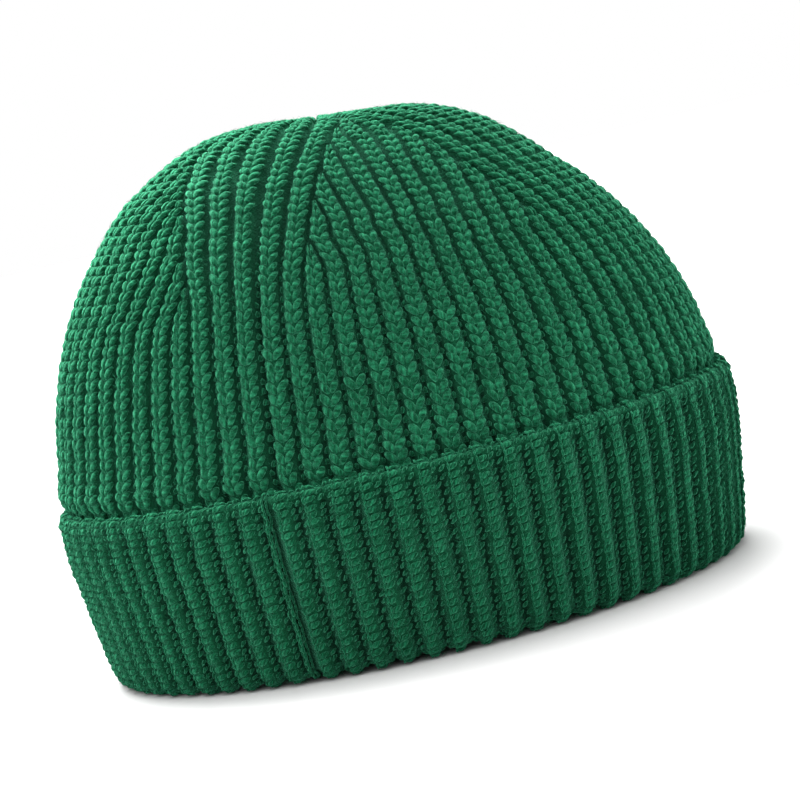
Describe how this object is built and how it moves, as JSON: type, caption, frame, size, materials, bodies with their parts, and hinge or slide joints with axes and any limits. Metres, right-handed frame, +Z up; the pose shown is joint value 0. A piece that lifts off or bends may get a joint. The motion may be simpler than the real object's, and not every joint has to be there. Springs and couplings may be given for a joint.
{
  "type": "ribbed fisherman beanie with a turned-up cuff",
  "caption": "Close-fitting dome-shaped knit cap in heavy rib, with a deep turned-up cuff and shaped crown gathered at the top.",
  "frame": {"origin": "middle of the rim's box, on the surface the hat rests on", "axes": "+Z up through the crown, +X along the long way of the head oval, with the back seam on the -Y side a little towards -X"},
  "size_m": [0.215, 0.163, 0.1595],
  "materials": {
    "crown_knit": "heavy rib knit in matt green yarn, knit face outwards",
    "cuff_knit": "heavy rib knit in matt green yarn, the cloth's other side outwards"
  },
  "bodies": {
    "root": {"crown": "crown_knit", "cuff": "cuff_knit"}
  },
  "joints": []
}
